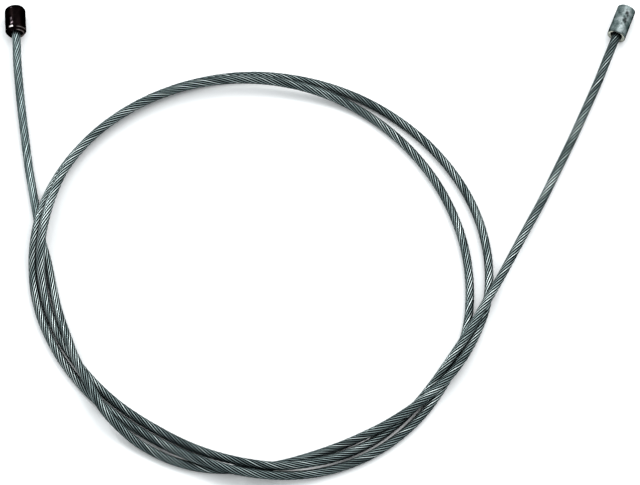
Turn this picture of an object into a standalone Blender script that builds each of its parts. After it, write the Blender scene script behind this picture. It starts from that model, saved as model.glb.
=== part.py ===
"""Bare multi-wire brake cable, loosely coiled, with a barrel cast on each end.

Metres, +Z up. The cable lies on the floor at Z = 0. The origin is under the
middle of the object's box. +X runs from the dark barrel's side to the zinc
barrel's side, and both barrels point towards +Y.

The route is laid out by hand as waypoints on a drawing plane that leans back
from the floor, as a cable on a bench is seen by the person who draws it. Each
waypoint also has a level, so place() can carry it on to the floor: level 0 lies
on the floor, level 1 rests on top of one other stretch of the cable.
"""

import math

import bmesh
import bpy
import numpy as np

# ---- driving dimensions (metres) -------------------------------------------
WIRE_D = 0.0032            # outer diameter of the laid strand
WIRE_TUBE_R = 0.00155      # plain tube's radius: its flats stay clear of the next turn
WIRE_SIDES_RES = 2         # bevel resolution of the strand's tube

COIL_HALF_W = 0.08322      # half axes of the coil's mean ellipse on the drawing
COIL_HALF_H = 0.07300
COIL_X, COIL_Y = -0.02135, -0.01205

DRAW_LEAN = math.radians(61.0)   # the drawing is viewed this high above the floor
DRAW_DIST = 2.0                  # from this far away
DRAW_X, DRAW_Y = 0.00003, 0.00002   # the drawing's centre on the floor

BLACK_R = 0.00390          # dark barrel
BLACK_L = 0.01125
BLACK_FILLET = 0.00185     # rounding of its outer end
BLACK_RIM = 0.00085        # chamfer around its mouth, across
BLACK_RIM_L = 0.0010       # the same chamfer, along the barrel
ZINC_R = 0.00345           # zinc barrel
ZINC_L = 0.01230
ZINC_EDGE = 0.00025
ZINC_CUP_R = 0.00260       # open cup where the strand enters
ZINC_CUP_DEPTH = 0.0012
BORE_R = 0.0019            # the strand's seat: its radius plus the 0.3 mm gap
SEAT_DEPTH = 0.0050        # how far the strand reaches into each barrel
GAP = 0.0003
BARREL_SIDES = 48

# ---- the route -------------------------------------------------------------
# dark barrel's mouth, then the tail down to the coil: drawing x, y in mm, level
BLACK_MOUTH = (-110.95, 76.05)
BLACK_TAIL = [
    (-110.7, 72.6, 0.68), (-110.6, 68.3, 0.60), (-110.0, 59.5, 0.40), (-109.0, 49.3, 0.18),
    (-107.8, 39.1, 0.05), (-106.5, 28.9, 0.0), (-104.9, 19.0, 0.0),
]

# the coil: angle in degrees (clockwise from +X on the drawing), share of the
# mean ellipse, level. The angle falls all the way along the cable.
COIL = [
    (195, 1.013, 0), (190, 0.978, 0), (185, 0.946, 0), (180, 0.9265, 0), (175, 0.9155, 0), (170, 0.91, 0.08),
    (165, 0.9062, 0.45), (160, 0.9058, 0.98), (155, 0.912, 1.07), (150, 0.919, 1.08), (145, 0.929, 1.07),
    (140, 0.9475, 1.07), (135, 0.967, 1.05), (130, 0.9805, 0.75), (125, 0.993, 0.35), (120, 1.0005, 0.1),
    (115, 1.004, 0), (110, 1.0025, 0), (105, 0.9965, 0), (100, 0.985, 0), (95, 0.9725, 0), (90, 0.9605, 0),
    (85, 0.949, 0), (80, 0.9365, 0), (75, 0.9272, 0), (70, 0.921, 0), (65, 0.9185, 0.22), (60, 0.919, 0.62),
    (55, 0.9235, 0.98), (50, 0.929, 1.07), (45, 0.9365, 1.09), (40, 0.945, 1.07), (35, 0.956, 1.07),
    (30, 0.9672, 1.05), (25, 0.9748, 0.9), (20, 0.9818, 0.5), (15, 0.989, 0.18), (10, 0.9965, 0.02), (5, 0.9992, 0),
    (0, 0.9985, 0), (-5, 0.997, 0), (-10, 0.995, 0), (-20, 0.99, 0), (-30, 0.984, 0), (-40, 0.98, 0), (-50, 0.979, 0),
    (-60, 0.981, 0), (-70, 0.985, 0), (-80, 0.9905, 0), (-90, 0.9975, 0), (-100, 1.0025, 0), (-110, 1.007, 0),
    (-120, 1.012, 0), (-130, 1.016, 0), (-140, 1.0185, 0), (-150, 1.02, 0.15), (-155, 1.0203, 0.42),
    (-160, 1.0195, 0.85), (-165, 1.0165, 1.06), (-170, 1.012, 0.9), (-175, 1.007, 0.45), (-180, 1.002, 0.1),
    (-185, 0.998, 0), (-190, 0.9925, 0), (-195, 0.986, 0), (-200, 0.979, 0), (-205, 0.9725, 0), (-210, 0.9665, 0),
    (-215, 0.9615, 0), (-220, 0.956, 0), (-225, 0.95, 0), (-230, 0.946, 0), (-235, 0.944, 0), (-240, 0.946, 0.1),
    (-245, 0.9505, 0.4), (-250, 0.957, 0.75), (-255, 0.9642, 0.98), (-260, 0.9733, 1.06), (-265, 0.984, 1.06),
    (-270, 0.994, 0.98), (-275, 1.004, 0.7), (-280, 1.012, 0.35), (-285, 1.0175, 0.1), (-290, 1.0195, 0),
    (-295, 1.0185, 0), (-300, 1.015, 0), (-305, 1.0083, 0), (-310, 1.0003, 0), (-315, 0.991, 0), (-320, 0.98, 0),
    (-325, 0.9695, 0), (-330, 0.96, 0), (-335, 0.952, 0), (-340, 0.944, 0), (-345, 0.9355, 0), (-350, 0.926, 0),
    (-355, 0.9175, 0), (-360, 0.91, 0), (-365, 0.9045, 0), (-370, 0.9, 0), (-380, 0.8945, 0), (-390, 0.895, 0),
    (-400, 0.9005, 0), (-410, 0.911, 0), (-420, 0.926, 0.02), (-430, 0.9435, 0.35), (-440, 0.9612, 0.8),
    (-450, 0.977, 0.98), (-460, 0.9913, 1.06), (-470, 1.0025, 1.07), (-480, 1.01, 1.07), (-490, 1.0152, 1.07),
    (-500, 1.0175, 1.07), (-505, 1.0165, 1.12), (-510, 1.0125, 1.26), (-515, 1.003, 1.48), (-520, 0.995, 1.69),
    (-525, 0.988, 1.78), (-530, 0.981, 1.5), (-535, 0.973, 0.98), (-540, 0.966, 0.52), (-545, 0.959, 0.2),
    (-550, 0.9525, 0.03), (-555, 0.9445, 0), (-560, 0.9355, 0), (-565, 0.9265, 0), (-570, 0.918, 0), (-575, 0.911, 0),
    (-580, 0.906, 0), (-585, 0.9025, 0), (-590, 0.899, 0), (-595, 0.897, 0), (-600, 0.8985, 0), (-605, 0.9035, 0),
    (-610, 0.911, 0.08), (-615, 0.9185, 0.3), (-620, 0.927, 0.66), (-625, 0.9365, 0.94), (-630, 0.947, 1.07),
    (-635, 0.956, 1.08), (-640, 0.96, 1.02), (-645, 0.9637, 0.75), (-650, 0.9665, 0.4), (-655, 0.9665, 0.15),
    (-660, 0.963, 0), (-665, 0.9558, 0), (-670, 0.9475, 0), (-675, 0.94, 0), (-680, 0.933, 0.03), (-685, 0.928, 0.34),
    (-690, 0.9268, 0.86), (-695, 0.9318, 1.06), (-700, 0.9435, 1.12), (-705, 0.961, 1.16), (-710, 0.9815, 1.14),
]

# the other tail, up to the zinc barrel's mouth: drawing x, y in mm, level
ZINC_TAIL = [
    (66.1, -12.4, 1.04), (70.7, -3.9, 0.66), (75.7, 5.3, 0.30), (80.6, 14.3, 0.10), (85.2, 23.5, 0.0),
    (89.75, 32.8, 0.0), (94.1, 42.0, 0.0), (98.3, 51.4, 0.06), (102.3, 60.6, 0.24), (104.8, 67.0, 0.42),
]
ZINC_RUN_IN = (106.1, 70.2)
ZINC_MOUTH = (108.1, 75.3)


def place(x, y, z):
    """Carry a drawing point on to the level plane at height z."""
    forward = np.array([0.0, math.cos(DRAW_LEAN), -math.sin(DRAW_LEAN)])
    up = np.array([0.0, math.sin(DRAW_LEAN), math.cos(DRAW_LEAN)])
    eye = np.array([DRAW_X, DRAW_Y, 0.0]) - DRAW_DIST * forward
    ray = DRAW_DIST * forward + np.array([x, 0.0, 0.0]) + y * up
    return eye + ray * (z - eye[2]) / ray[2]


def level_height(level):
    return WIRE_D * (0.5 + level)


def mouth_frame(mouth, run_in, height):
    """Point and unit direction of a barrel's axis, which is level."""
    a = place(mouth[0] / 1000, mouth[1] / 1000, height)
    b = place(run_in[0] / 1000, run_in[1] / 1000, height)
    return a, (a - b) / np.linalg.norm(a - b)


def route_points():
    """Waypoints of the strand's middle line, in order, from seat to seat."""
    start, into = mouth_frame(BLACK_MOUTH, BLACK_TAIL[1], BLACK_R)
    pts = [start + SEAT_DEPTH * into, start]
    pts += [place(x / 1000, y / 1000, level_height(n)) for x, y, n in BLACK_TAIL]
    for angle, share, n in COIL:
        a = math.radians(angle)
        pts.append(place(COIL_X + COIL_HALF_W * share * math.cos(a),
                         COIL_Y - COIL_HALF_H * share * math.sin(a), level_height(n)))
    pts += [place(x / 1000, y / 1000, level_height(n)) for x, y, n in ZINC_TAIL]
    end, out = mouth_frame(ZINC_MOUTH, ZINC_RUN_IN, ZINC_R)
    pts += [place(ZINC_RUN_IN[0] / 1000, ZINC_RUN_IN[1] / 1000, ZINC_R - 0.00002), end, end + SEAT_DEPTH * out]
    return np.array(pts)


def natural_cubic(t, y, q):
    """Natural cubic spline through y(t), read at q."""
    n = len(t)
    h = np.diff(t)
    a = np.eye(n)
    rhs = np.zeros((n, y.shape[1]))
    for i in range(1, n - 1):
        a[i, i - 1], a[i, i], a[i, i + 1] = h[i - 1], 2 * (h[i - 1] + h[i]), h[i]
        rhs[i] = 6 * ((y[i + 1] - y[i]) / h[i] - (y[i] - y[i - 1]) / h[i - 1])
    m = np.linalg.solve(a, rhs)
    i = np.clip(np.searchsorted(t, q) - 1, 0, n - 2)
    w = (t[i + 1] - t[i])[:, None]
    u = (t[i + 1] - q)[:, None] / w
    v = 1 - u
    return u * y[i] + v * y[i + 1] + ((u**3 - u) * m[i] + (v**3 - v) * m[i + 1]) * w * w / 6


def monotone_cubic(t, y, q):
    """Cubic through y(t) that never dips below a flat stretch."""
    h = np.diff(t)
    d = np.diff(y) / h
    s = np.zeros(len(t))
    for i in range(1, len(t) - 1):
        if d[i - 1] * d[i] > 0:
            w1, w2 = 2 * h[i] + h[i - 1], h[i] + 2 * h[i - 1]
            s[i] = (w1 + w2) / (w1 / d[i - 1] + w2 / d[i])
    s[0], s[-1] = d[0], d[-1]
    i = np.clip(np.searchsorted(t, q) - 1, 0, len(t) - 2)
    w = h[i]
    x = (q - t[i]) / w
    return (y[i] * (1 + 2 * x) * (1 - x)**2 + s[i] * w * x * (1 - x)**2
            + y[i + 1] * x * x * (3 - 2 * x) + s[i + 1] * w * x * x * (x - 1))


def smooth_path(step):
    """The strand's middle line, read about every `step` metres."""
    pts = route_points()
    t = np.r_[0.0, np.cumsum(np.linalg.norm(np.diff(pts[:, :2], axis=0), axis=1))]
    q = np.linspace(0.0, t[-1], int(round(t[-1] / step)) + 1)
    return np.c_[natural_cubic(t, pts[:, :2], q), monotone_cubic(t, pts[:, 2], q)]


def stations(path, sagitta, low, high):
    """Fewer points where the path is straight, more where it bends."""
    seg = np.linalg.norm(np.diff(path, axis=0), axis=1)
    along = np.r_[0.0, np.cumsum(seg)]
    tangent = np.gradient(path, along, axis=0)
    bend = np.linalg.norm(np.gradient(tangent, along, axis=0), axis=1)
    width = 9
    bend = np.convolve(np.pad(bend, width // 2, mode="edge"), np.ones(width) / width, mode="valid")
    spacing = np.clip(np.sqrt(8 * sagitta / np.maximum(bend, 1e-6)), low, high)
    count = np.r_[0.0, np.cumsum(seg * 0.5 * (1 / spacing[:-1] + 1 / spacing[1:]))]
    n = int(math.ceil(count[-1]))
    at = np.interp(np.linspace(0.0, count[-1], n + 1), count, along)
    return np.column_stack([np.interp(at, along, path[:, k]) for k in range(3)])


def material(name, color, metallic, roughness):
    mat = bpy.data.materials.new(name)
    mat.use_nodes = True
    shader = mat.node_tree.nodes["Principled BSDF"]
    shader.inputs["Base Color"].default_value = (*color, 1.0)
    shader.inputs["Metallic"].default_value = metallic
    shader.inputs["Roughness"].default_value = roughness
    mat.diffuse_color = (*color, 1.0)
    return mat


def strand(name, mat):
    curve = bpy.data.curves.new(name, "CURVE")
    curve.dimensions = "3D"
    curve.bevel_depth = WIRE_TUBE_R
    curve.bevel_resolution = WIRE_SIDES_RES
    curve.use_fill_caps = True
    pts = stations(smooth_path(0.001), 0.0003, 0.006, 0.016)
    spline = curve.splines.new("POLY")
    spline.points.add(len(pts) - 1)
    for point, co in zip(spline.points, pts):
        point.co = (*co, 1.0)
    curve.materials.append(mat)
    obj = bpy.data.objects.new(name, curve)
    bpy.context.scene.collection.objects.link(obj)
    return obj


def turned(name, profile, origin, axis, mat):
    """Turn a profile of (distance along the axis, radius), outer end first."""
    bm = bmesh.new()
    rings = []
    first = bm.verts.new((0.0, 0.0, profile[0][0]))
    last = bm.verts.new((0.0, 0.0, profile[-1][0]))
    for along, radius in profile[1:-1]:
        rings.append([bm.verts.new((radius * math.cos(2 * math.pi * k / BARREL_SIDES),
                                    radius * math.sin(2 * math.pi * k / BARREL_SIDES), along))
                      for k in range(BARREL_SIDES)])
    for k in range(BARREL_SIDES):
        j = (k + 1) % BARREL_SIDES
        bm.faces.new((first, rings[0][k], rings[0][j]))
        for low, high in zip(rings, rings[1:]):
            bm.faces.new((low[k], high[k], high[j], low[j]))
        bm.faces.new((last, rings[-1][j], rings[-1][k]))
    bmesh.ops.recalc_face_normals(bm, faces=bm.faces)
    mesh = bpy.data.meshes.new(name)
    bm.to_mesh(mesh)
    bm.free()
    mesh.materials.append(mat)
    mesh.shade_smooth()
    mesh.set_sharp_from_angle(angle=math.radians(30))
    obj = bpy.data.objects.new(name, mesh)
    obj.location = origin
    obj.rotation_euler = (math.radians(-90), 0.0, math.atan2(-axis[0], axis[1]))
    bpy.context.scene.collection.objects.link(obj)
    return obj


def fillet(end, radius, size, steps):
    """Rounded outer edge: points from the flat end round to the side."""
    out = []
    for k in range(steps + 1):
        a = 0.5 * math.pi * k / steps
        out.append((end - size + size * math.cos(a), radius - size + size * math.sin(a)))
    return out


def black_profile():
    seat = SEAT_DEPTH + GAP
    return ([(BLACK_L, 0.0)] + fillet(BLACK_L, BLACK_R, BLACK_FILLET, 8)
            + [(BLACK_RIM_L + 0.00012, BLACK_R), (BLACK_RIM_L, BLACK_R - 0.00006), (0.0001, BLACK_R - BLACK_RIM + 0.00004),
               (0.0, BLACK_R - BLACK_RIM - 0.00006),
               (0.0, BORE_R + 0.0003), (0.0003, BORE_R), (seat, BORE_R), (seat, 0.0)])


def zinc_profile():
    seat = SEAT_DEPTH + GAP
    return ([(ZINC_L, 0.0)] + fillet(ZINC_L, ZINC_R, ZINC_EDGE, 3)
            + [(0.00012, ZINC_R), (0.0, ZINC_R - 0.00012), (0.0, ZINC_CUP_R + 0.0001), (0.0001, ZINC_CUP_R),
               (ZINC_CUP_DEPTH, BORE_R + 0.0002), (ZINC_CUP_DEPTH + 0.0002, BORE_R), (seat, BORE_R), (seat, 0.0)])


def main():
    for obj in list(bpy.data.objects):
        bpy.data.objects.remove(obj)

    strand("wire_strand", material("galvanised_steel", (0.42, 0.45, 0.45), 1.0, 0.38))

    origin, axis = mouth_frame(BLACK_MOUTH, BLACK_TAIL[1], BLACK_R)
    turned("black_barrel", black_profile(), origin, axis, material("black_gloss", (0.012, 0.009, 0.010), 0.0, 0.22))

    origin, axis = mouth_frame(ZINC_MOUTH, ZINC_RUN_IN, ZINC_R)
    turned("zinc_barrel", zinc_profile(), origin, axis, material("cast_zinc", (0.46, 0.49, 0.47), 1.0, 0.45))


main()
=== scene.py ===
"""Looks of the coiled brake cable: laid strand, two barrels, pale floor, soft studio light."""
import math

import bmesh
import bpy
import numpy as np
from mathutils import Matrix, Vector


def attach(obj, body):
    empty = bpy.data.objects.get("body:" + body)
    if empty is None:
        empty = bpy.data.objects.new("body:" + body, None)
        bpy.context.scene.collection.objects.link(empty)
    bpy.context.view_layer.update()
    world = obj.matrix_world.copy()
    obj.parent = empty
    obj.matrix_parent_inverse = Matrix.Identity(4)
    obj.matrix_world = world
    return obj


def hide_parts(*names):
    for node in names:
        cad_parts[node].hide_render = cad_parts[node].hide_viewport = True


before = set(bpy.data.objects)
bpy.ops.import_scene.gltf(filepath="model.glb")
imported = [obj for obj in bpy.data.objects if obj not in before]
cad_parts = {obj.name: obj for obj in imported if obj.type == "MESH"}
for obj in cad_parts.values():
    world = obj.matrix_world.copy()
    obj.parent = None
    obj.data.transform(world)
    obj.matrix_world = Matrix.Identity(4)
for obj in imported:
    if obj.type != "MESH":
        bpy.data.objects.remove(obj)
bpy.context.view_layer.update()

# ---- the part's route, repeated in metres ------------------------------------
WIRE_D = 0.0032
COIL_HALF_W = 0.08322
COIL_HALF_H = 0.07300
COIL_X, COIL_Y = -0.02135, -0.01205
DRAW_LEAN = math.radians(61.0)
DRAW_DIST = 2.0
DRAW_X, DRAW_Y = 0.00003, 0.00002
BLACK_R = 0.00390
BLACK_L = 0.01125
ZINC_R = 0.00345
ZINC_L = 0.01230
SEAT_DEPTH = 0.0050
BORE_R = 0.0019

BLACK_MOUTH = (-110.95, 76.05)
BLACK_TAIL = [
    (-110.7, 72.6, 0.68), (-110.6, 68.3, 0.60), (-110.0, 59.5, 0.40), (-109.0, 49.3, 0.18),
    (-107.8, 39.1, 0.05), (-106.5, 28.9, 0.0), (-104.9, 19.0, 0.0),
]
COIL = [
    (195, 1.013, 0), (190, 0.978, 0), (185, 0.946, 0), (180, 0.9265, 0), (175, 0.9155, 0), (170, 0.91, 0.08),
    (165, 0.9062, 0.45), (160, 0.9058, 0.98), (155, 0.912, 1.07), (150, 0.919, 1.08), (145, 0.929, 1.07),
    (140, 0.9475, 1.07), (135, 0.967, 1.05), (130, 0.9805, 0.75), (125, 0.993, 0.35), (120, 1.0005, 0.1),
    (115, 1.004, 0), (110, 1.0025, 0), (105, 0.9965, 0), (100, 0.985, 0), (95, 0.9725, 0), (90, 0.9605, 0),
    (85, 0.949, 0), (80, 0.9365, 0), (75, 0.9272, 0), (70, 0.921, 0), (65, 0.9185, 0.22), (60, 0.919, 0.62),
    (55, 0.9235, 0.98), (50, 0.929, 1.07), (45, 0.9365, 1.09), (40, 0.945, 1.07), (35, 0.956, 1.07),
    (30, 0.9672, 1.05), (25, 0.9748, 0.9), (20, 0.9818, 0.5), (15, 0.989, 0.18), (10, 0.9965, 0.02), (5, 0.9992, 0),
    (0, 0.9985, 0), (-5, 0.997, 0), (-10, 0.995, 0), (-20, 0.99, 0), (-30, 0.984, 0), (-40, 0.98, 0), (-50, 0.979, 0),
    (-60, 0.981, 0), (-70, 0.985, 0), (-80, 0.9905, 0), (-90, 0.9975, 0), (-100, 1.0025, 0), (-110, 1.007, 0),
    (-120, 1.012, 0), (-130, 1.016, 0), (-140, 1.0185, 0), (-150, 1.02, 0.15), (-155, 1.0203, 0.42),
    (-160, 1.0195, 0.85), (-165, 1.0165, 1.06), (-170, 1.012, 0.9), (-175, 1.007, 0.45), (-180, 1.002, 0.1),
    (-185, 0.998, 0), (-190, 0.9925, 0), (-195, 0.986, 0), (-200, 0.979, 0), (-205, 0.9725, 0), (-210, 0.9665, 0),
    (-215, 0.9615, 0), (-220, 0.956, 0), (-225, 0.95, 0), (-230, 0.946, 0), (-235, 0.944, 0), (-240, 0.946, 0.1),
    (-245, 0.9505, 0.4), (-250, 0.957, 0.75), (-255, 0.9642, 0.98), (-260, 0.9733, 1.06), (-265, 0.984, 1.06),
    (-270, 0.994, 0.98), (-275, 1.004, 0.7), (-280, 1.012, 0.35), (-285, 1.0175, 0.1), (-290, 1.0195, 0),
    (-295, 1.0185, 0), (-300, 1.015, 0), (-305, 1.0083, 0), (-310, 1.0003, 0), (-315, 0.991, 0), (-320, 0.98, 0),
    (-325, 0.9695, 0), (-330, 0.96, 0), (-335, 0.952, 0), (-340, 0.944, 0), (-345, 0.9355, 0), (-350, 0.926, 0),
    (-355, 0.9175, 0), (-360, 0.91, 0), (-365, 0.9045, 0), (-370, 0.9, 0), (-380, 0.8945, 0), (-390, 0.895, 0),
    (-400, 0.9005, 0), (-410, 0.911, 0), (-420, 0.926, 0.02), (-430, 0.9435, 0.35), (-440, 0.9612, 0.8),
    (-450, 0.977, 0.98), (-460, 0.9913, 1.06), (-470, 1.0025, 1.07), (-480, 1.01, 1.07), (-490, 1.0152, 1.07),
    (-500, 1.0175, 1.07), (-505, 1.0165, 1.12), (-510, 1.0125, 1.26), (-515, 1.003, 1.48), (-520, 0.995, 1.69),
    (-525, 0.988, 1.78), (-530, 0.981, 1.5), (-535, 0.973, 0.98), (-540, 0.966, 0.52), (-545, 0.959, 0.2),
    (-550, 0.9525, 0.03), (-555, 0.9445, 0), (-560, 0.9355, 0), (-565, 0.9265, 0), (-570, 0.918, 0), (-575, 0.911, 0),
    (-580, 0.906, 0), (-585, 0.9025, 0), (-590, 0.899, 0), (-595, 0.897, 0), (-600, 0.8985, 0), (-605, 0.9035, 0),
    (-610, 0.911, 0.08), (-615, 0.9185, 0.3), (-620, 0.927, 0.66), (-625, 0.9365, 0.94), (-630, 0.947, 1.07),
    (-635, 0.956, 1.08), (-640, 0.96, 1.02), (-645, 0.9637, 0.75), (-650, 0.9665, 0.4), (-655, 0.9665, 0.15),
    (-660, 0.963, 0), (-665, 0.9558, 0), (-670, 0.9475, 0), (-675, 0.94, 0), (-680, 0.933, 0.03), (-685, 0.928, 0.34),
    (-690, 0.9268, 0.86), (-695, 0.9318, 1.06), (-700, 0.9435, 1.12), (-705, 0.961, 1.16), (-710, 0.9815, 1.14),
]
ZINC_TAIL = [
    (66.1, -12.4, 1.04), (70.7, -3.9, 0.66), (75.7, 5.3, 0.30), (80.6, 14.3, 0.10), (85.2, 23.5, 0.0),
    (89.75, 32.8, 0.0), (94.1, 42.0, 0.0), (98.3, 51.4, 0.06), (102.3, 60.6, 0.24), (104.8, 67.0, 0.42),
]
ZINC_RUN_IN = (106.1, 70.2)
ZINC_MOUTH = (108.1, 75.3)


def place(x, y, z):
    forward = np.array([0.0, math.cos(DRAW_LEAN), -math.sin(DRAW_LEAN)])
    up = np.array([0.0, math.sin(DRAW_LEAN), math.cos(DRAW_LEAN)])
    eye = np.array([DRAW_X, DRAW_Y, 0.0]) - DRAW_DIST * forward
    ray = DRAW_DIST * forward + np.array([x, 0.0, 0.0]) + y * up
    return eye + ray * (z - eye[2]) / ray[2]


def level_height(level):
    return WIRE_D * (0.5 + level)


def mouth_frame(mouth, run_in, height):
    a = place(mouth[0] / 1000, mouth[1] / 1000, height)
    b = place(run_in[0] / 1000, run_in[1] / 1000, height)
    return a, (a - b) / np.linalg.norm(a - b)


def route_points():
    start, into = mouth_frame(BLACK_MOUTH, BLACK_TAIL[1], BLACK_R)
    pts = [start + SEAT_DEPTH * into, start]
    pts += [place(x / 1000, y / 1000, level_height(n)) for x, y, n in BLACK_TAIL]
    for angle, share, n in COIL:
        a = math.radians(angle)
        pts.append(place(COIL_X + COIL_HALF_W * share * math.cos(a),
                         COIL_Y - COIL_HALF_H * share * math.sin(a), level_height(n)))
    pts += [place(x / 1000, y / 1000, level_height(n)) for x, y, n in ZINC_TAIL]
    end, out = mouth_frame(ZINC_MOUTH, ZINC_RUN_IN, ZINC_R)
    pts += [place(ZINC_RUN_IN[0] / 1000, ZINC_RUN_IN[1] / 1000, ZINC_R - 0.00002), end, end + SEAT_DEPTH * out]
    return np.array(pts)


def natural_cubic(t, y, q):
    n = len(t)
    h = np.diff(t)
    a = np.eye(n)
    rhs = np.zeros((n, y.shape[1]))
    for i in range(1, n - 1):
        a[i, i - 1], a[i, i], a[i, i + 1] = h[i - 1], 2 * (h[i - 1] + h[i]), h[i]
        rhs[i] = 6 * ((y[i + 1] - y[i]) / h[i] - (y[i] - y[i - 1]) / h[i - 1])
    m = np.linalg.solve(a, rhs)
    i = np.clip(np.searchsorted(t, q) - 1, 0, n - 2)
    w = (t[i + 1] - t[i])[:, None]
    u = (t[i + 1] - q)[:, None] / w
    v = 1 - u
    return u * y[i] + v * y[i + 1] + ((u**3 - u) * m[i] + (v**3 - v) * m[i + 1]) * w * w / 6


def monotone_cubic(t, y, q):
    h = np.diff(t)
    d = np.diff(y) / h
    s = np.zeros(len(t))
    for i in range(1, len(t) - 1):
        if d[i - 1] * d[i] > 0:
            w1, w2 = 2 * h[i] + h[i - 1], h[i] + 2 * h[i - 1]
            s[i] = (w1 + w2) / (w1 / d[i - 1] + w2 / d[i])
    s[0], s[-1] = d[0], d[-1]
    i = np.clip(np.searchsorted(t, q) - 1, 0, len(t) - 2)
    w = h[i]
    x = (q - t[i]) / w
    return (y[i] * (1 + 2 * x) * (1 - x)**2 + s[i] * w * x * (1 - x)**2
            + y[i + 1] * x * x * (3 - 2 * x) + s[i + 1] * w * x * x * (x - 1))


def smooth_path(count):
    """The strand's middle line as count points, evenly spaced along it."""
    pts = route_points()
    t = np.r_[0.0, np.cumsum(np.linalg.norm(np.diff(pts[:, :2], axis=0), axis=1))]
    q = np.linspace(0.0, t[-1], 6000)
    fine = np.c_[natural_cubic(t, pts[:, :2], q), monotone_cubic(t, pts[:, 2], q)]
    along = np.r_[0.0, np.cumsum(np.linalg.norm(np.diff(fine, axis=0), axis=1))]
    at = np.linspace(0.0, along[-1], count)
    return np.column_stack([np.interp(at, along, fine[:, k]) for k in range(3)]), at


# ---- camera ------------------------------------------------------------------
FRAME_W = 0.365 * 640 / 1000
cam_data = bpy.data.cameras.new("camera")
cam_data.sensor_width = 36.0
cam_data.sensor_fit = "HORIZONTAL"
cam_data.lens = 36.0 * DRAW_DIST / FRAME_W
cam_data.clip_start, cam_data.clip_end = 0.1, 20.0
camera = bpy.data.objects.new("camera", cam_data)
camera.location = (DRAW_X, DRAW_Y - DRAW_DIST * math.cos(DRAW_LEAN), DRAW_DIST * math.sin(DRAW_LEAN))
camera.rotation_euler = (math.radians(90.0) - DRAW_LEAN, 0.0, 0.0)
bpy.context.scene.collection.objects.link(camera)
bpy.context.scene.camera = camera


# ---- small helpers for node materials ------------------------------------------
class Nodes:
    def __init__(self, name):
        self.mat = bpy.data.materials.new(name)
        self.mat.use_nodes = True
        self.tree = self.mat.node_tree
        self.bsdf = self.tree.nodes["Principled BSDF"]

    def add(self, kind, **props):
        node = self.tree.nodes.new(kind)
        for key, value in props.items():
            setattr(node, key, value)
        return node

    def link(self, a, b):
        self.tree.links.new(a, b)

    def math(self, op, a, b=None, c=None, clamp=False):
        node = self.add("ShaderNodeMath", operation=op, use_clamp=clamp)
        for i, value in enumerate((a, b, c)):
            if value is None:
                continue
            if isinstance(value, (int, float)):
                node.inputs[i].default_value = value
            else:
                self.link(value, node.inputs[i])
        return node.outputs[0]

    def noise(self, vector, scale, detail=2.0, rough=0.5, dims="3D"):
        node = self.add("ShaderNodeTexNoise", noise_dimensions=dims)
        node.inputs["Scale"].default_value = scale
        node.inputs["Detail"].default_value = detail
        node.inputs["Roughness"].default_value = rough
        if vector is not None:
            self.link(vector, node.inputs["Vector"])
        return node.outputs["Fac"]

    def ramp(self, fac, stops):
        node = self.add("ShaderNodeValToRGB")
        el = node.color_ramp.elements
        while len(el) > 1:
            el.remove(el[-1])
        el[0].position, el[0].color = stops[0][0], stops[0][1]
        for pos, col in stops[1:]:
            e = el.new(pos)
            e.color = col
        self.link(fac, node.inputs["Fac"])
        return node.outputs["Color"]

    def mix(self, fac, a, b, blend="MIX"):
        node = self.add("ShaderNodeMix", data_type="RGBA", blend_type=blend)
        for sock, value in ((node.inputs["Factor"], fac), (node.inputs["A"], a), (node.inputs["B"], b)):
            pass
        fac_in = [s for s in node.inputs if s.name == "Factor" and s.type == "VALUE"][0]
        a_in = [s for s in node.inputs if s.name == "A" and s.type == "RGBA"][0]
        b_in = [s for s in node.inputs if s.name == "B" and s.type == "RGBA"][0]
        for sock, value in ((fac_in, fac), (a_in, a), (b_in, b)):
            if isinstance(value, (int, float)):
                sock.default_value = value
            elif isinstance(value, tuple):
                sock.default_value = value
            else:
                self.link(value, sock)
        return [s for s in node.outputs if s.type == "RGBA"][0]

    def span(self, value, lo, hi, to_lo=0.0, to_hi=1.0):
        node = self.add("ShaderNodeMapRange", clamp=True)
        self.link(value, node.inputs["Value"])
        for key, v in (("From Min", lo), ("From Max", hi), ("To Min", to_lo), ("To Max", to_hi)):
            node.inputs[key].default_value = v
        return node.outputs["Result"]


# ---- the laid strand -----------------------------------------------------------
LAY = 0.0258               # one full turn of the outer wires, right-hand lay
TAIL_LAY = 0.0278          # a little longer in the free tail, where the strand is straight
TAIL_AT = 1.365            # metres along the strand where that tail leaves the coil
WIRES = 11                 # outer wires that show, from the spacing of the bright lines
WIRE_R = 0.00034
PITCH_R = 0.00126
RINGS = 1250
ARC = (-76.0, -38.0, 0.0, 38.0, 76.0)


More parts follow.
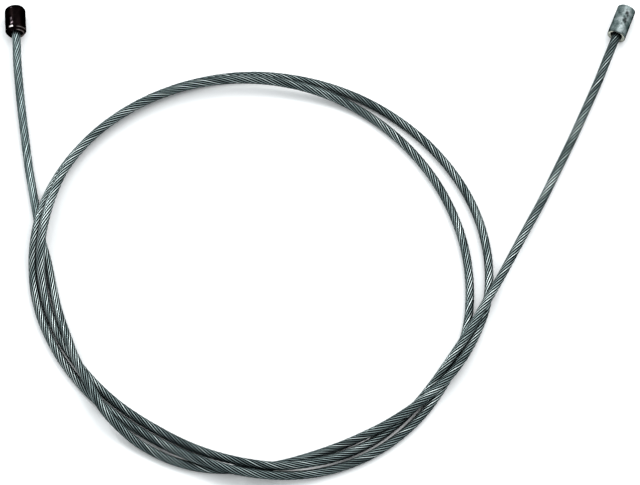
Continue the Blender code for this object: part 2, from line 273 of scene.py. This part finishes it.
def strand_mesh(name):
    path, along = smooth_path(RINGS)
    tangent = np.gradient(path, along, axis=0)
    tangent /= np.linalg.norm(tangent, axis=1)[:, None]
    # frames that do not twist about the path
    normal = np.zeros_like(path)
    start = np.array([0.0, 0.0, 1.0])
    n = start - tangent[0] * start.dot(tangent[0])
    normal[0] = n / np.linalg.norm(n)
    for i in range(len(path) - 1):
        v1 = path[i + 1] - path[i]
        c1 = v1.dot(v1)
        r = normal[i] - (2 / c1) * v1.dot(normal[i]) * v1
        t = tangent[i] - (2 / c1) * v1.dot(tangent[i]) * v1
        v2 = tangent[i + 1] - t
        c2 = v2.dot(v2)
        n = r - (2 / c2) * v2.dot(r) * v2 if c2 > 1e-18 else r
        n -= tangent[i + 1] * n.dot(tangent[i + 1])
        normal[i + 1] = n / np.linalg.norm(n)
    side = np.cross(tangent, normal)

    radius, angle, groove, index = [], [], [], []
    for k in range(WIRES):
        centre = 2 * math.pi * k / WIRES
        for a in ARC:
            a = math.radians(a)
            x, y = PITCH_R + WIRE_R * math.cos(a), WIRE_R * math.sin(a)
            radius.append(math.hypot(x, y))
            angle.append(centre + math.atan2(y, x))
            groove.append(abs(math.degrees(a)) / 90.0)
            index.append(k)
        radius.append(0.00108)
        angle.append(centre + math.pi / WIRES)
        groove.append(1.25)
        index.append(k)
    radius, angle = np.array(radius), np.array(angle)
    m = len(radius)
    rng = np.random.default_rng(11)
    # each wire sits a hair high or low, and drifts slowly along the cable
    drift = np.zeros((RINGS, WIRES))
    for k in range(WIRES):
        for _ in range(6):
            drift[:, k] += rng.normal() * np.sin(2 * math.pi * along * rng.uniform(2, 30) + rng.uniform(0, 6.28))
    drift = 0.000007 * drift
    tone = np.zeros((RINGS, WIRES))
    for k in range(WIRES):
        tone[:, k] = rng.uniform(0.25, 0.75)
        for _ in range(5):
            tone[:, k] += 0.12 * rng.normal() * np.sin(2 * math.pi * along * rng.uniform(3, 60) + rng.uniform(0, 6.28))
    index = np.array(index)
    # in the zinc barrel's tail the lay is longer, and near the barrel the wires are
    #     # darker; in the dark barrel's tail the painted groove shade is lighter and the wires darker
    tail = np.clip((along - TAIL_AT) / 0.05, 0.0, 1.0)
    mouth = np.clip((along - along[-1] + 0.034) / 0.014, 0.0, 1.0)
    left_tail_mask = np.clip((0.105 - along) / 0.03, 0.0, 1.0)
    lay = LAY + (TAIL_LAY - LAY) * tail
    twist = 2 * math.pi * np.r_[0.0, np.cumsum(np.diff(along) / (0.5 * (lay[:-1] + lay[1:])))]
    rr = radius[None, :] + drift[:, index]
    th = angle[None, :] + twist[:, None]
    co = (path[:, None, :] + (rr * np.cos(th))[:, :, None] * normal[:, None, :]
          + (rr * np.sin(th))[:, :, None] * side[:, None, :])
    verts = co.reshape(-1, 3)
    faces = []
    for i in range(RINGS - 1):
        a, b = i * m, (i + 1) * m
        for j in range(m):
            k = (j + 1) % m
            faces.append((a + j, a + k, b + k, b + j))
    verts = np.vstack([verts, path[0], path[-1]])
    first, last = len(verts) - 2, len(verts) - 1
    for j in range(m):
        k = (j + 1) % m
        faces.append((first, k, j))
        faces.append((last, (RINGS - 1) * m + j, (RINGS - 1) * m + k))
    mesh = bpy.data.meshes.new(name)
    mesh.from_pydata(verts.tolist(), [], faces)
    attr = mesh.attributes.new("groove", "FLOAT", "POINT")
    attr.data.foreach_set("value", np.r_[(np.array(groove)[None, :] * (1 - 0.50 * left_tail_mask[:, None]) + 0.04 * tail[:, None]).ravel(), 0.0, 0.0].astype(np.float32))
    # how far each point's side of the strand faces the floor, for a painted shade on the side that faces down
    down = -(np.cos(th) * normal[:, None, 2] + np.sin(th) * side[:, None, 2])
    painted_under_shade = np.clip((down + 0.30) / 0.65, 0.0, 1.0)
    attr = mesh.attributes.new("painted_under_shade", "FLOAT", "POINT")
    attr.data.foreach_set("value", np.r_[painted_under_shade.ravel(), 0.0, 0.0].astype(np.float32))
    attr = mesh.attributes.new("tone", "FLOAT", "POINT")
    # painted light and shade: the wires are painted a little lighter on the coil's left and darker on its near and far
    # sides
    painted_light = np.clip((-path[:, 0] - 0.070) / 0.025, 0.0, 1.0) * (1 - left_tail_mask)
    painted_near_shade = np.clip((-path[:, 1] - 0.045) / 0.040, 0.0, 1.0)
    painted_far_shade = np.clip((path[:, 1] - 0.030) / 0.030, 0.0, 1.0) * np.clip((0.080 - np.abs(path[:, 0])) / 0.025, 0.0, 1.0)
    tone += (0.16 * painted_light - 0.28 * painted_near_shade - 0.12 * painted_far_shade - 0.45 * mouth - 0.42 * left_tail_mask)[:, None]
    attr.data.foreach_set("value", np.r_[tone[:, index].ravel(), 0.5, 0.5].astype(np.float32))
    mesh.shade_smooth()
    obj = bpy.data.objects.new(name, mesh)
    bpy.context.scene.collection.objects.link(obj)
    return obj, path[::2]


def strand_material():
    n = Nodes("wire_strand_look")
    coord = n.add("ShaderNodeTexCoord").outputs["Object"]
    groove = n.add("ShaderNodeAttribute", attribute_name="groove").outputs["Fac"]
    painted_under_shade = n.add("ShaderNodeAttribute", attribute_name="painted_under_shade").outputs["Fac"]
    tone = n.add("ShaderNodeAttribute", attribute_name="tone").outputs["Fac"]
    broad = n.noise(coord, 45.0, 3.0, 0.6)
    fine = n.noise(coord, 900.0, 2.0, 0.5)
    shade = n.math("ADD", n.math("MULTIPLY", tone, 0.60), n.math("MULTIPLY", broad, 0.40))
    shade = n.math("ADD", shade, n.math("MULTIPLY", n.math("SUBTRACT", fine, 0.5), 0.18))
    metal = n.ramp(shade, [(0.08, (0.115, 0.155, 0.157, 1)), (0.25, (0.185, 0.243, 0.245, 1)), (0.50, (0.35, 0.438, 0.436, 1)),
                           (0.80, (0.76, 0.870, 0.860, 1))])
    # painted shade: the grooves between the wires and the side that faces down are painted near-black
    painted_shade = n.span(n.math("ADD", groove, n.math("MULTIPLY", n.math("SUBTRACT", broad, 0.5), 0.16)), 0.07, 0.38)
    painted_shade = n.math("MAXIMUM", painted_shade, n.math("MULTIPLY", painted_under_shade, 0.92))
    color = n.mix(painted_shade, metal, (0.006, 0.007, 0.008, 1))
    n.link(color, n.bsdf.inputs["Base Color"])
    n.bsdf.inputs["Metallic"].default_value = 1.0
    n.bsdf.inputs["Specular Tint"].default_value = (0.12, 0.13, 0.13, 1)
    rough = n.math("ADD", n.math("MULTIPLY", fine, 0.10), n.math("MULTIPLY", painted_shade, 0.15))
    n.link(n.math("ADD", rough, 0.30), n.bsdf.inputs["Roughness"])
    bump = n.add("ShaderNodeBump")
    bump.inputs["Strength"].default_value = 0.12
    bump.inputs["Distance"].default_value = 0.00002
    n.link(fine, bump.inputs["Height"])
    n.link(bump.outputs["Normal"], n.bsdf.inputs["Normal"])
    return n.mat


# ---- barrels -------------------------------------------------------------------
def frame_matrix(origin, axis):
    """Local +Z along the barrel, local -Y up, local +X to its right."""
    z = Vector(axis)
    y = Vector((0.0, 0.0, -1.0))
    x = y.cross(z)
    m = Matrix((x, y, z)).transposed().to_4x4()
    m.translation = Vector(origin)
    return m


def turned(name, profile, matrix, sides, shape=None):
    """Turn (along, radius) points, outer end first; shape may nudge each point."""
    bm = bmesh.new()
    rings = []
    first = bm.verts.new(matrix @ Vector((0.0, 0.0, profile[0][0])))
    last = bm.verts.new(matrix @ Vector((0.0, 0.0, profile[-1][0])))
    for i, (along, radius) in enumerate(profile[1:-1]):
        ring = []
        for k in range(sides):
            a = 2 * math.pi * k / sides
            s, r = (along, radius) if shape is None else shape(i, a, along, radius)
            ring.append(bm.verts.new(matrix @ Vector((r * math.cos(a), r * math.sin(a), s))))
        rings.append(ring)
    for k in range(sides):
        j = (k + 1) % sides
        bm.faces.new((first, rings[0][k], rings[0][j]))
        for low, high in zip(rings, rings[1:]):
            bm.faces.new((low[k], high[k], high[j], low[j]))
        bm.faces.new((last, rings[-1][j], rings[-1][k]))
    bmesh.ops.recalc_face_normals(bm, faces=bm.faces)
    mesh = bpy.data.meshes.new(name)
    bm.to_mesh(mesh)
    bm.free()
    mesh.shade_smooth()
    mesh.set_sharp_from_angle(angle=math.radians(40))
    obj = bpy.data.objects.new(name, mesh)
    bpy.context.scene.collection.objects.link(obj)
    return obj


def arc(cx, cr, size_x, size_r, a0, a1, steps):
    return [(cx + size_x * math.cos(math.radians(a0 + (a1 - a0) * k / steps)),
             cr + size_r * math.sin(math.radians(a0 + (a1 - a0) * k / steps))) for k in range(steps + 1)]


def side_rows(start, end, radius, count):
    return [(start + (end - start) * k / count, radius) for k in range(1, count)]


def barrel_positions(obj, matrix):
    """Store each point's place in the barrel's own frame, for its marks."""
    inv = matrix.inverted()
    local = np.array([inv @ v.co for v in obj.data.vertices])
    attr = obj.data.attributes.new("barrel_pos", "FLOAT_VECTOR", "POINT")
    attr.data.foreach_set("vector", local.astype(np.float32).ravel())


def black_barrel():
    origin, axis = mouth_frame(BLACK_MOUTH, BLACK_TAIL[1], BLACK_R)
    m = frame_matrix(origin, axis)
    f = 0.00185
    prof = [(BLACK_L, 0.0), (BLACK_L, 0.0010)]
    prof += arc(BLACK_L - f, BLACK_R - f, f, f, 0, 90, 14)
    prof += side_rows(BLACK_L - f, 0.00125, BLACK_R, 9)
    # rounded shoulder, chamfer and rounded lip around the mouth
    prof += arc(0.00125, BLACK_R - 0.0003, -0.0003, 0.0003, 90, 45, 4)
    prof += arc(0.00022, BLACK_R - 0.00092, -0.0002, 0.0002, 100, 20, 5)
    prof += [(0.00004, BLACK_R - 0.00116), (0.00034, BLACK_R - 0.00140), (0.00040, BORE_R + 0.00025),
             (0.00055, BORE_R), (SEAT_DEPTH + 0.0003, BORE_R), (SEAT_DEPTH + 0.0003, 0.0)]

    def shape(i, a, s, r):
        wob = 0.000018 * math.sin(3 * a + 900 * s) + 0.000012 * math.sin(7 * a - 1700 * s)
        return s, (r + wob if r > 0.003 else r)

    obj = turned("black_barrel_skin", prof, m, 96, shape)
    barrel_positions(obj, m)
    n = Nodes("black_barrel_look")
    coord = n.add("ShaderNodeAttribute", attribute_name="barrel_pos").outputs["Vector"]
    split = n.add("ShaderNodeSeparateXYZ")
    n.link(coord, split.inputs[0])
    x, y, z = split.outputs
    angle = n.math("ARCTAN2", x, n.math("MULTIPLY", y, -1.0))
    broad = n.noise(coord, 260.0, 3.0, 0.55)
    fine = n.noise(coord, 2600.0, 2.0, 0.6)
    color = n.ramp(broad, [(0.35, (0.0015, 0.0010, 0.0011, 1)), (0.60, (0.0034, 0.0021, 0.0021, 1)), (0.78, (0.011, 0.0072, 0.0068, 1))])
    # painted highlights: thin light lines on the right of the shoulder and lip edges, and a pale spot on the upper
    # left near the shoulder
    shoulder = n.span(n.math("ABSOLUTE", n.math("SUBTRACT", z, 0.00112)), 0.00005, 0.00018, 1.0, 0.0)
    lip = n.span(n.math("ABSOLUTE", n.math("SUBTRACT", z, 0.00014)), 0.00005, 0.00016, 1.0, 0.0)
    right = n.span(angle, 0.05, 0.30)
    spot = n.math("MULTIPLY", n.span(n.math("ABSOLUTE", n.math("ADD", angle, 0.46)), 0.10, 0.24, 1.0, 0.0),
                  n.span(n.math("ABSOLUTE", n.math("SUBTRACT", z, 0.00150)), 0.00018, 0.00042, 1.0, 0.0))
    painted_edge_highlight = n.math("MULTIPLY", n.math("MAXIMUM", shoulder, lip), n.math("MULTIPLY", right, 0.45))
    color = n.mix(painted_edge_highlight, color, (0.26, 0.23, 0.22, 1))
    color = n.mix(spot, color, (0.62, 0.58, 0.56, 1))
    # painted sheen: a patchy light streak on the upper left, along the half near the mouth and near the outer end
    painted_streak_highlight = n.math("MULTIPLY", n.span(n.math("ABSOLUTE", n.math("ADD", angle, 0.36)), 0.05, 0.16, 1.0, 0.0),
                 n.span(n.noise(coord, 520.0, 2.0, 0.6), 0.44, 0.60))
    low = n.math("MAXIMUM", n.span(z, 0.0048, 0.0058, 1.0, 0.0),
                 n.math("MULTIPLY", n.span(n.math("ABSOLUTE", n.math("SUBTRACT", z, 0.0100)), 0.0003, 0.0009, 1.0, 0.0), 0.9))
    painted_streak_highlight = n.math("MULTIPLY", painted_streak_highlight, low)
    color = n.mix(n.math("MULTIPLY", painted_streak_highlight, 0.8), color, (0.13, 0.105, 0.115, 1))
    n.link(color, n.bsdf.inputs["Base Color"])
    gloss = n.math("ADD", n.math("MULTIPLY", broad, 0.30), n.span(z, 0.0040, 0.0080, 0.06, 0.20))
    n.link(n.math("ADD", gloss, n.math("MULTIPLY", spot, 0.30)), n.bsdf.inputs["Roughness"])
    n.bsdf.inputs["Metallic"].default_value = 1.0
    n.bsdf.inputs["Specular Tint"].default_value = (0.12, 0.10, 0.10, 1)
    height = n.math("ADD", n.math("MULTIPLY", broad, 1.0), n.math("MULTIPLY", fine, 0.15))
    bump = n.add("ShaderNodeBump")
    bump.inputs["Strength"].default_value = 0.6
    bump.inputs["Distance"].default_value = 0.00012
    n.link(height, bump.inputs["Height"])
    n.link(bump.outputs["Normal"], n.bsdf.inputs["Normal"])
    obj.data.materials.append(n.mat)
    return obj


def zinc_barrel():
    origin, axis = mouth_frame(ZINC_MOUTH, ZINC_RUN_IN, ZINC_R)
    m = frame_matrix(origin, axis)
    e = 0.00025
    cup = 0.00260
    prof = [(ZINC_L, 0.0), (ZINC_L, 0.0010), (ZINC_L, 0.0020)]
    prof += arc(ZINC_L - e, ZINC_R - e, e, e, 0, 90, 5)
    prof += side_rows(ZINC_L - e, 0.0003, ZINC_R, 16)
    prof += [(0.00030, ZINC_R), (0.00012, ZINC_R - 0.00003), (0.0, ZINC_R - 0.00014), (-0.00002, ZINC_R - 0.00026),
             (0.00002, cup + 0.0001), (0.00016, cup), (0.00060, cup - 0.00025), (0.00110, BORE_R + 0.00032),
             (0.00130, BORE_R + 0.00006), (0.00150, BORE_R), (SEAT_DEPTH + 0.0003, BORE_R), (SEAT_DEPTH + 0.0003, 0.0)]

    def shape(i, a, s, r):
        if s > 0.0014 and r < 0.0021:
            return s, r
        wob = 0.000020 * math.sin(2 * a + 700 * s) + 0.000014 * math.sin(5 * a - 1300 * s + 1.0) + 0.000010 * math.sin(11 * a + 2300 * s)
        lip = 0.0
        if s < 0.0008:
            # the casting's mouth is ragged
            lip = 0.00004 * math.sin(3 * a + 0.6) + 0.00005 * math.sin(7 * a + 2.0) + 0.00004 * math.sin(13 * a)
            for middle, width, reach in ((0.60, 0.50, 0.00050), (2.60, 0.35, 0.00020)):
                turn = math.remainder(a - middle, 2 * math.pi)
                lip -= reach * math.exp(-(turn / width)**2)
            lip *= 1 - max(s, 0.0) / 0.0008
        if s < 0.0012 and r < cup + 0.00015:
            # a lug of metal stands in the mouth to the left and right of the strand
            lug = sum(math.exp(-(math.remainder(a - middle, 2 * math.pi) / 0.62)**4) for middle in (0.35, 2.80))
            r -= 0.90 * lug * (r - BORE_R - 0.00012)
        return s + lip, r + wob

    obj = turned("zinc_barrel_skin", prof, m, 128, shape)
    barrel_positions(obj, m)
    n = Nodes("zinc_barrel_look")
    coord = n.add("ShaderNodeAttribute", attribute_name="barrel_pos").outputs["Vector"]
    split = n.add("ShaderNodeSeparateXYZ")
    n.link(coord, split.inputs[0])
    x, y, z = split.outputs
    turned_by = n.math("ARCTAN2", x, n.math("MULTIPLY", y, -1.0))
    broad = n.noise(coord, 340.0, 4.0, 0.6)
    fine = n.noise(coord, 2200.0, 3.0, 0.65)
    spang = n.add("ShaderNodeTexVoronoi", feature="F1")
    spang.inputs["Scale"].default_value = 900.0
    n.link(coord, spang.inputs["Vector"])
    shade = n.math("ADD", n.math("MULTIPLY", broad, 0.7), n.math("MULTIPLY", fine, 0.3))
    # painted highlight: a lighter band along the top, a touch darker towards the sides
    shade = n.math("ADD", shade, n.span(n.math("ABSOLUTE", n.math("SUBTRACT", turned_by, 0.20)), 0.30, 0.80, 0.05, -0.02))
    metal = n.ramp(shade, [(0.34, (0.020, 0.032, 0.031, 1)), (0.43, (0.062, 0.088, 0.086, 1)), (0.54, (0.146, 0.180, 0.179, 1)),
                           (0.68, (0.32, 0.360, 0.365, 1))])
    # a row of small dark casting pits along the side that faces up
    off = n.math("ABSOLUTE", n.math("SUBTRACT", turned_by, 0.38))
    band = n.span(off, 0.16, 0.36, 1.0, 0.0)
    ends = n.math("MULTIPLY", n.span(z, 0.0034, 0.0042), n.span(z, 0.0102, 0.0110, 1.0, 0.0))
    spots = n.add("ShaderNodeTexVoronoi", feature="F1")
    spots.inputs["Scale"].default_value = 640.0
    n.link(coord, spots.inputs["Vector"])
    spot = n.span(spots.outputs["Distance"], 0.34, 0.66, 1.0, 0.0)
    pits = n.math("MULTIPLY", n.math("MULTIPLY", band, ends), spot)
    # painted shade and highlight in the cup: its inside is painted dark at the top and pale at the sides and bottom
    rad = n.math("SQRT", n.math("ADD", n.math("MULTIPLY", x, x), n.math("MULTIPLY", y, y)))
    cupmask = n.math("MULTIPLY", n.span(rad, 0.0024, 0.0026, 1.0, 0.0), n.span(z, 0.0026, 0.0030, 1.0, 0.0))
    cupmask = n.math("MULTIPLY", cupmask, n.span(z, 0.00008, 0.00022))
    away = n.math("ABSOLUTE", n.math("SUBTRACT", turned_by, 0.05))
    dark = n.math("MAXIMUM", n.math("MULTIPLY", pits, 0.93), n.math("MULTIPLY", cupmask, n.span(away, 0.80, 1.15, 0.92, 0.0)))
    face = n.span(z, 0.00006, 0.00030, 1.0, 0.0)
    # painted highlight: the mouth's face ring is painted pale, most at the sides and bottom
    rim = n.math("MULTIPLY", face, n.math("MULTIPLY", n.span(rad, 0.00196, 0.00206), n.span(rad, 0.00318, 0.00330, 1.0, 0.0)))
    tabs = n.span(away, 0.42, 0.70, 0.12, 1.0)
    painted_light = n.math("MAXIMUM", n.math("MULTIPLY", n.math("MULTIPLY", rim, tabs), 0.9),
                    n.math("MULTIPLY", cupmask, n.span(away, 0.80, 1.15, 0.0, 0.75)))
    metal = n.mix(painted_light, metal, (0.86, 0.88, 0.76, 1))
    line = n.span(n.math("ABSOLUTE", n.math("SUBTRACT", z, 0.00062)), 0.00006, 0.00026, 0.75, 0.0)
    line = n.math("MULTIPLY", line, n.span(away, 0.30, 0.60))
    dark = n.math("MAXIMUM", dark, line)
    dark = n.math("MAXIMUM", dark, n.math("MULTIPLY", face, n.span(rad, 0.00326, 0.00336, 0.0, 0.8)))
    # painted shade: the barrel is painted darker towards its sides and underside
    dark = n.math("MAXIMUM", dark, n.span(n.math("ABSOLUTE", turned_by), 1.05, 1.55, 0.0, 0.60))
    n.link(n.mix(dark, metal, (0.012, 0.015, 0.015, 1)), n.bsdf.inputs["Base Color"])
    n.bsdf.inputs["Metallic"].default_value = 1.0
    n.bsdf.inputs["Specular Tint"].default_value = (0.08, 0.09, 0.09, 1)
    n.link(n.math("ADD", n.math("MULTIPLY", broad, 0.25), 0.34), n.bsdf.inputs["Roughness"])
    height = n.math("ADD", n.math("MULTIPLY", broad, 1.0), n.math("MULTIPLY", fine, 0.25))
    height = n.math("SUBTRACT", height, n.math("MULTIPLY", pits, 0.9))
    bump = n.add("ShaderNodeBump")
    bump.inputs["Strength"].default_value = 0.8
    bump.inputs["Distance"].default_value = 0.00018
    n.link(height, bump.inputs["Height"])
    n.link(bump.outputs["Normal"], n.bsdf.inputs["Normal"])
    obj.data.materials.append(n.mat)
    return obj


# ---- assemble ------------------------------------------------------------------
strand, strand_path = strand_mesh("strand_laid")
strand.data.materials.append(strand_material())
black = black_barrel()
zinc = zinc_barrel()
for piece, node in ((strand, "wire_strand"), (black, "black_barrel"), (zinc, "zinc_barrel")):
    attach(piece, "root")
    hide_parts(node)

start, into = mouth_frame(BLACK_MOUTH, BLACK_TAIL[1], BLACK_R)

# ---- floor and light -------------------------------------------------------------
bm = bmesh.new()
bmesh.ops.create_grid(bm, x_segments=1, y_segments=1, size=3.0)
mesh = bpy.data.meshes.new("floor")
bm.to_mesh(mesh)
bm.free()
floor = bpy.data.objects.new("floor", mesh)
bpy.context.scene.collection.objects.link(floor)
n = Nodes("floor_look")
n.bsdf.inputs["Base Color"].default_value = (0.92, 0.925, 0.93, 1)
n.bsdf.inputs["Roughness"].default_value = 0.9
n.bsdf.inputs["Specular IOR Level"].default_value = 0.2
floor.data.materials.append(n.mat)


def area(name, at, target, size_x, size_y, power, color=(1, 1, 1)):
    data = bpy.data.lights.new(name, "AREA")
    data.shape = "RECTANGLE"
    data.size, data.size_y = size_x, size_y
    data.energy = power
    data.color = color
    obj = bpy.data.objects.new(name, data)
    obj.location = at
    aim = Vector(target) - Vector(at)
    obj.rotation_euler = aim.to_track_quat("-Z", "Y").to_euler()
    bpy.context.scene.collection.objects.link(obj)
    return obj


def lit(size_x, size_y, brightness):
    """Power that gives a panel this brightness."""
    return math.pi * size_x * size_y * brightness


area("key", (0.58, 0.40, 0.94), (0, 0, 0), 0.95, 0.95, lit(0.95, 0.95, 2.5), (1.0, 1.0, 1.0))
area("back", (-0.05, 0.64, 1.14), (0, 0, 0), 1.00, 0.32, lit(1.00, 0.32, 2.2), (0.99, 1.0, 1.0))
area("left", (-0.45, 0.42, 0.40), (-0.11, 0.08, 0), 0.07, 0.30, lit(0.07, 0.30, 22.0), (0.96, 0.99, 1.0))

world = bpy.data.worlds.new("world")
world.use_nodes = True
world.node_tree.nodes["Background"].inputs["Color"].default_value = (0.84, 0.875, 0.885, 1)
world.node_tree.nodes["Background"].inputs["Strength"].default_value = 1.12
bpy.context.scene.world = world
bpy.context.scene.view_settings.view_transform = "Standard"
